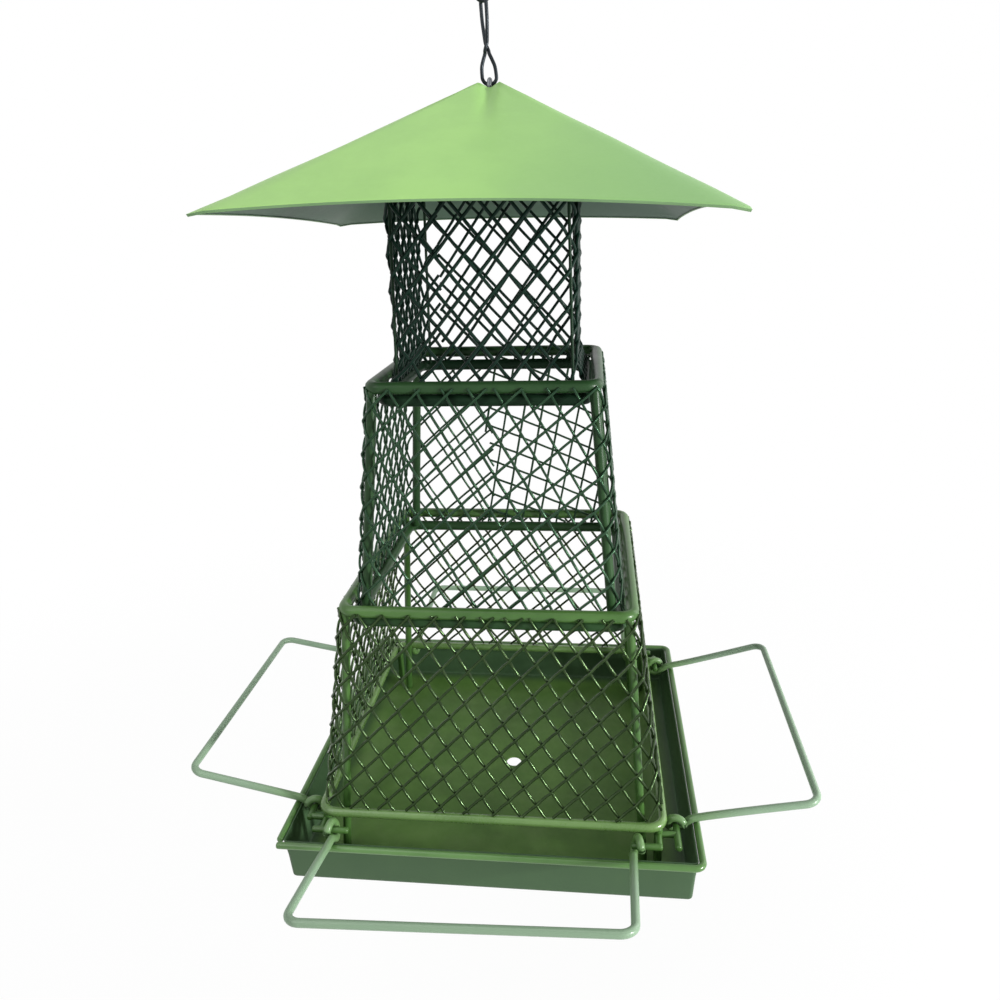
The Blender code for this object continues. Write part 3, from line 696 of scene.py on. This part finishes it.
def wall_spot(spot, half, z, top_z):
    up = min(1, max(0, (z - FOOT) / (top_z - FOOT)))
    dent = noise.noise(Vector((spot.x * 34, spot.y * 34, 3.1))) * TRAY_DENT * sin(pi * up)
    return spot.x * (1 - abs(dent) / half), spot.y * (1 - abs(dent) / half), z


def floor_spot(spot, share):
    # share runs from 0 at the folded edge to 1 at the drain hole
    drain = Vector(DRAIN)
    at = spot.lerp(drain + (spot - drain).normalized() * DRAIN_HOLE, share)
    rise = (0.5 + 0.5 * noise.noise(Vector((at.x * 24, at.y * 24, 9.0)))) * FLOOR_WAVE
    rise *= min(1.0, share * 6) * (1.0 if share < 0.98 else 0.7)
    return at.x, at.y, FOOT + rise


def tray():
    top_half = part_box("tray_pan")[1].x
    top_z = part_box("tray_pan")[1].z
    foot_half = top_half - TRAY_LEAN
    levels = [(top_half, top_z), (top_half - TRAY_LEAN * 0.12, top_z - 0.0020),
              (top_half - TRAY_LEAN * 0.55, (top_z + FOOT) / 2 + 0.002), (foot_half, FOOT + TRAY_FOLD)]
    for k in range(1, 5):
        turn = pi / 2 * k / 4
        levels.append((foot_half - TRAY_FOLD * (1 - cos(turn)), FOOT + TRAY_FOLD * (1 - sin(turn))))
    grid = [[wall_spot(spot, half, z, top_z)
             for spot in outline_spots(half, max(0.0008, TRAY_BEND - (top_half - half) * 0.2))]
            for half, z in levels]
    last = outline_spots(levels[-1][0], TRAY_BEND)
    grid += [[floor_spot(spot, share) for spot in last] for share in FLOOR_SHARES]
    mesh = sheet_mesh("tray_sheet", grid)
    piece = gather("tray_sheet", [mesh], TRAY_PAINT, "bottom_tier", ["tray_pan"])
    wall = piece.data.polygons[0]
    if wall.normal.x * wall.center.x + wall.normal.y * wall.center.y < 0:
        piece.data.flip_normals()
    thicken(piece, TRAY_WORN)


tray()


def rim():
    # The rod's two ends nearly meet at the front left corner
    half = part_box("tray_rim")[1].x - RIM_ROD
    z = level("tray_rim")
    corners = [(-half - RIM_PAST, -half, z), (half, -half, z), (half, half, z), (-half, half, z),
               (-half, -half + RIM_GAP, z)]
    path = filleted(corners, RIM_BEND, False, 8)
    gather("tray_rim_rod", [tube(path, RIM_ROD)], RIM_PAINT, "bottom_tier", ["tray_rim"])


rim()


# Legs: a rod under each corner of the base ring, with a cross wire bent round it that ends in hinge pins
JOINTS = {one["name"]: one for one in frame["record"]["behaviour"]["joints"]}
PIN_OUT = JOINTS["right_perch_fold"]["pos_m"][0]
PIN_Z = JOINTS["right_perch_fold"]["pos_m"][2]
LEG_STAND = BASE_RING[0] - BASE_BEND * (1 - sqrt(0.5))
PIN_INNER = BASE_RING[0] - 0.0148     # where a pin ends, inside the leg
LEG_INTO_RING = 0.0010
CROSS_BEND = 0.0012
# How far each hinge pin runs on past its leg: the first for the side before the corner
PIN_ENDS = {"front_right": (0.0014, 0.0095), "back_right": (0.0030, 0.0070), "back_left": (0.0030, 0.0070),
            "front_left": (0.0020, 0.0048)}


def leg(quarter, corner):
    stand = LEG_STAND
    first, second = PIN_ENDS[corner]
    upright = [(stand, -stand, z) for z in (FOOT + SHEET, PIN_Z, BASE_RING[1] - LEG_INTO_RING)]
    first_pin = [(x, -PIN_OUT, PIN_Z) for x in (PIN_INNER, stand, stand + first)]
    second_pin = [(PIN_OUT, y, PIN_Z) for y in (-PIN_INNER, -stand, -stand - second)]
    cross = filleted([(stand, -PIN_OUT, PIN_Z), (stand, -stand, PIN_Z), (PIN_OUT, -stand, PIN_Z)], CROSS_BEND)
    pieces = [tube([turned(spot, quarter) for spot in path], radius)
              for path, radius in ((upright, LEG), (first_pin, PIN), (second_pin, PIN), (cross, PIN))]
    gather(f"leg_{corner}_rods", pieces, FRAME_PAINT, "bottom_tier", [f"leg_{corner}"])


for QUARTER, CORNER in enumerate(CORNERS):
    leg(QUARTER, CORNER)


# Perches, each bent by hand: how far the two ends of the outer bar droop, spread along and reach out,
# left end first as seen from outside, and how far the perch has slid along its pins
DROOP = {"front": (0.0037, -0.0009), "right": (0.0028, -0.0029), "back": (0.0, 0.0), "left": (0.0, 0.0)}
SPREAD = {"front": (0.0049, 0.0013), "right": (0.0002, 0.0056), "back": (0.0010, 0.0010),
          "left": (0.0012, 0.0024)}
REACH = {"front": (0.0, 0.0), "right": (0.0026, 0.0030), "back": (0.0010, 0.0010),
         "left": (0.0026, 0.0020)}
SHIFT = {"front": -0.0025, "right": 0.0, "back": 0.0, "left": -0.0010}
EYE_STEP = 0.0032                 # from the arm's line to the eye's inner end
EYE_X = PIN_INNER + EYE_STEP
BAR_HALF = EYE_X - EYE_STEP
EYE_START, EYE_WRAP = radians(-12), radians(318)
EYE_SPOTS = 28
EYE_GAP = 0.0002                  # between an eye's curl and the arm beside it
ARM_BEND = 0.004
SPOT_STEP = 0.006                 # greatest length between two spots of a perch


def share_of(x, end):
    # How near a spot of the bar is to its right (1) or left (-1) end
    return max(0.0, min(1.0, end * x / BAR_HALF))


def perch(quarter, side):
    # Drawn for the front side: an eye round each pin, two arms resting on the rim and the outer bar
    rim_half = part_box("tray_rim")[1].x - RIM_ROD
    fall = PIN_Z - level("tray_rim")
    span = hypot(rim_half - PIN_OUT, fall)
    tilt = asin((RIM_ROD + PERCH_WIRE + PERCH_PLAY) / span) - atan2(fall, rim_half - PIN_OUT)
    bar = (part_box("perch_right")[1].x - PERCH_WIRE - PIN_OUT) / cos(tilt)
    loop = PIN + PERCH_PLAY + PERCH_WIRE
    half = []
    for k in range(EYE_SPOTS + 1):
        turn = EYE_START + EYE_WRAP * k / EYE_SPOTS
        aside = (2 * PERCH_WIRE + EYE_GAP) * (1 - k / EYE_SPOTS)
        half.append(Vector((EYE_X + aside, loop * cos(turn), loop * sin(turn))))
    tail = filleted([half[-1], (EYE_X, loop * 1.35, -loop * 0.42), (EYE_X, loop * 2.1, 0.0),
                     (BAR_HALF, bar, 0.0), (0.0, bar, 0.0)], [0, ARM_BEND, ARM_BEND, PERCH_BEND, 0], False, 9)
    run = [tail[0]]
    for spot in tail[1:]:
        parts = max(1, int((spot - run[-1]).length / SPOT_STEP))
        start = run[-1]
        run += [start.lerp(spot, k / parts) for k in range(1, parts + 1)]
    half += run[1:]
    sides = half + [Vector((-spot.x, spot.y, spot.z)) for spot in reversed(half[:-1])]
    rigid = span * 1.15               # the bends by hand begin past the rim
    path = []
    for x, out, up in sides:
        share = min(1.0, max(0.0, (1 - x / BAR_HALF) / 2))
        droop = DROOP[side][1] * (1 - share) + DROOP[side][0] * share
        reach = max(0.0, (out - rigid) / (bar - rigid))
        up -= droop * reach ** 1.3
        x += (SPREAD[side][1] * share_of(x, 1) - SPREAD[side][0] * share_of(x, -1)) * reach
        out += (REACH[side][1] * (1 - share) + REACH[side][0] * share) * reach
        y = -(PIN_OUT + out * cos(tilt) - up * sin(tilt))
        z = PIN_Z + out * sin(tilt) + up * cos(tilt)
        path.append(turned((x + SHIFT[side], y, z), quarter))
    gather(f"perch_{side}_wire", [tube(path, PERCH_WIRE, fineness=5)], PERCH_PAINT, f"{side}_perch",
           [f"perch_{side}"])


for QUARTER, SIDE in enumerate(SIDES):
    perch(QUARTER, SIDE)


# Chain, hanger and hook
def smooth_path(spots, closed):
    # A curve through every spot, in four parts from each to the next
    parts = 4
    count = len(spots)
    spots = [Vector(one) for one in spots]
    path = []
    for number in range(count if closed else count - 1):
        if closed:
            a, b, c, d = (spots[(number + k) % count] for k in (-1, 0, 1, 2))
        else:
            a, b, c, d = (spots[min(max(number + k, 0), count - 1)] for k in (-1, 0, 1, 2))
        for k in range(parts):
            t = k / parts
            path.append(0.5 * (2 * b + (c - a) * t + (2 * a - 5 * b + 4 * c - d) * t ** 2
                               + (3 * b - a - 3 * c + d) * t ** 3))
    if not closed:
        path.append(spots[-1])
    return path


LINK_TURN = radians(62)           # one loop of a link is twisted this far from the other
CHAIN_X = 0.0022                  # the chain hangs a little off the middle at the roof
JOIN_X = 0.0003                   # and less where its links meet
LINK_ROOM = 0.0002                # room between two links, so that they can swing
LINK_RAISE = 0.0007               # the lower link's foot is drawn up against the hanger's eye
CROSSING_DROP = 0.0034            # and its crossing lies below its middle


def link(node, body, foot_x, foot_z, crossing):
    # Two loops, one turned from the other; its foot may be moved, and its crossing lowered
    low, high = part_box(node)
    centre = (low.z + high.z) / 2
    length = high.z - low.z - 2 * CHAIN_WIRE
    round_z = length / 2 - LINK_HALF
    run = round_z - LINK_TWIST
    side = [(LINK_WAIST, LINK_TWIST), (LINK_HALF * 0.62, LINK_TWIST + run * 0.26),
            (LINK_HALF * 0.93, LINK_TWIST + run * 0.58)]
    loop = side + arc((0, round_z), LINK_HALF, 0, pi, 8) + [(-x, z) for x, z in reversed(side)]
    points = [(x, 0, -z) for x, z in loop]
    for k in (1, 2):
        turn = pi + (pi - LINK_TURN) / 3 * k
        points.append((LINK_WAIST * cos(turn), LINK_WAIST * sin(turn), LINK_TWIST * (2 * k / 3 - 1)))
    points += [(y * cos(LINK_TURN), -y * sin(LINK_TURN), z) for y, z in loop]
    for k in (1, 2):
        turn = pi - LINK_TURN - (pi - LINK_TURN) / 3 * k
        points.append((LINK_WAIST * cos(turn), LINK_WAIST * sin(turn), LINK_TWIST * (1 - 2 * k / 3)))
    spots = []
    for x, y, z in points:
        share = (z + length / 2) / length
        z += foot_z * (1 - share) - crossing * max(0.0, 1 - abs(z) / round_z)
        spots.append((x + foot_x * (1 - share) + JOIN_X * share, y, z + centre))
    path = smooth_path(spots, True)
    gather(node + "_wire", [tube(path, CHAIN_WIRE, closed=True)], CHAIN_METAL, body, [node])


link("chain_link_upper", "upper_link", JOIN_X, -LINK_ROOM, 0.0)
link("chain_link_lower", "top_tier", CHAIN_X, LINK_RAISE, CROSSING_DROP)


def hanger():
    # A wire from one side of the top ring up to an eye in the roof's opening and down again
    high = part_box("hanger")[1].z
    eye_z = high - HANGER_EYE - HANGER_WIRE
    foot_z = TOP_RING[1]
    foot = TOP_RING[0] - ROD * 0.4
    eye = []
    for k in range(25):
        turn = radians(35) + radians(290) * k / 24
        eye.append((CHAIN_X, -HANGER_EYE * sin(turn), eye_z - HANGER_EYE * cos(turn)))
    neck = eye_z - 2.5 * HANGER_EYE
    left = [(-foot, 0, foot_z), (-foot + 0.0035, 0, foot_z), (-foot + 0.0062, 0, foot_z + 0.0012),
            (-1.2 * HANGER_EYE, eye[0][1], neck - 0.4 * HANGER_EYE),
            (-0.4 * HANGER_EYE, eye[0][1], neck + 0.5 * HANGER_EYE)]
    right = [(-x, eye[-1][1] if y else 0, z) for x, y, z in reversed(left)]
    left, right = ([(x + CHAIN_X * (y != 0), y, z) for x, y, z in half] for half in (left, right))
    path = smooth_path(left + eye + right, False)
    gather("hanger_wire", [tube(path, HANGER_WIRE)], ZINC, "top_tier", ["hanger"])


hanger()


def hook():
    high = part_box("top_hook")[1].z
    crown = high - HOOK_WIRE - HOOK_LARGE
    eye_z = crown - HOOK_LARGE - HOOK_SMALL
    points = arc((0, eye_z), HOOK_SMALL, radians(45), radians(-270), 30)
    points += arc((0, crown), HOOK_LARGE, radians(-90), radians(215), 34)[1:]
    gather("top_hook_wire", [tube([(x + JOIN_X, 0, z) for x, z in points], HOOK_WIRE)], CHAIN_METAL, "hook",
           ["top_hook"])


hook()


# Floor, light and camera
FLOOR_DROP = 0.16                 # the floor lies this far below the tray


def seen_directly(graph):
    # 1 for the rays that have to find the background white
    path = graph.node("ShaderNodeLightPath")
    seen = Value(graph, path.outputs["Is Camera Ray"])
    for ray in ("Is Glossy Ray", "Is Transmission Ray"):
        seen = seen.math("MAXIMUM", Value(graph, path.outputs[ray]))
    return seen


def floor():
    shape = bmesh.new()
    bmesh.ops.create_grid(shape, x_segments=2, y_segments=2, size=9.0)
    mesh = bpy.data.meshes.new("floor")
    shape.to_mesh(mesh)
    shape.free()
    mesh.transform(Matrix.Translation((0, 0, FOOT - FLOOR_DROP)))
    ground = bpy.data.objects.new("floor", mesh)
    bpy.context.scene.collection.objects.link(ground)
    made = bpy.data.materials.new("pale_floor")
    made.use_nodes = True
    tree = made.node_tree
    graph = Graph(tree)
    shader = tree.nodes["Principled BSDF"]
    shader.inputs["Base Color"].default_value = (0.9, 0.9, 0.9, 1.0)
    shader.inputs["Roughness"].default_value = 0.9
    shader.inputs["Specular IOR Level"].default_value = 0.1
    seen = seen_directly(graph)
    glow = graph.node("ShaderNodeEmission", None, (1.0, 1.0, 1.0, 1.0), 1.0)
    away = graph.vector("LENGTH", graph.out("ShaderNodeTexCoord", socket="Object"), socket="Value")
    glare = away.between(0.35, 1.1) * 0.1 + 0.9
    blend = graph.node("ShaderNodeMixShader", None, seen * glare, shader.outputs[0], glow.outputs[0])
    tree.links.new(blend.outputs[0], tree.nodes["Material Output"].inputs["Surface"])
    mesh.materials.append(made)


floor()


def studio():
    # White where it is seen, dimmer as a light
    world = bpy.data.worlds.new("studio")
    bpy.context.scene.world = world
    world.use_nodes = True
    graph = Graph(world.node_tree)
    world.node_tree.nodes.clear()
    seen = seen_directly(graph)
    soft = graph.node("ShaderNodeBackground", None, (1.0, 1.0, 1.0, 1.0), 0.34)
    white = graph.node("ShaderNodeBackground", None, (1.0, 1.0, 1.0, 1.0), 1.0)
    blend = graph.node("ShaderNodeMixShader", None, seen, soft.outputs[0], white.outputs[0])
    graph.node("ShaderNodeOutputWorld", None, blend.outputs[0])


studio()


LAMP_AIM = (0, 0, -0.25)


def lamp(name, place, size, power):
    light = bpy.data.lights.new(name, "AREA")
    light.shape = "RECTANGLE"
    light.size, light.size_y = size
    light.energy = power
    body = bpy.data.objects.new(name, light)
    body.location = place
    body.rotation_euler = (Vector(LAMP_AIM) - Vector(place)).to_track_quat("-Z", "Y").to_euler()
    bpy.context.scene.collection.objects.link(body)


lamp("key_window", (1.35, -0.62, -0.08), (0.12, 0.27), 28)
lamp("left_fill", (-0.75, -0.70, 0.45), (0.7, 0.7), 3.6)
lamp("right_rim", (0.85, 0.45, 0.0), (0.5, 0.8), 2.6)
lamp("overhead", (-0.5, -0.2, 1.4), (1.2, 1.2), 7)


def camera():
    # The viewpoint of the photograph, in the feeder's own frame
    across = Vector((0.9936762, 0.1080581, -0.0305140))
    up = Vector((-0.0067551, 0.3287960, 0.9443768))
    ahead = Vector((-0.1120805, 0.9381986, -0.3274467))
    lens = bpy.data.cameras.new("camera")
    lens.sensor_width = 36.0
    lens.sensor_fit = "HORIZONTAL"
    lens.lens = 29.38
    lens.clip_start = 0.01
    eye = bpy.data.objects.new("camera", lens)
    turn = Matrix((across, up, -ahead)).transposed().to_4x4()
    eye.matrix_world = Matrix.Translation((0.0476740, -0.3930240, -0.1452105)) @ turn
    bpy.context.scene.collection.objects.link(eye)
    bpy.context.scene.camera = eye


camera()
bpy.context.scene.view_settings.view_transform = "Standard"
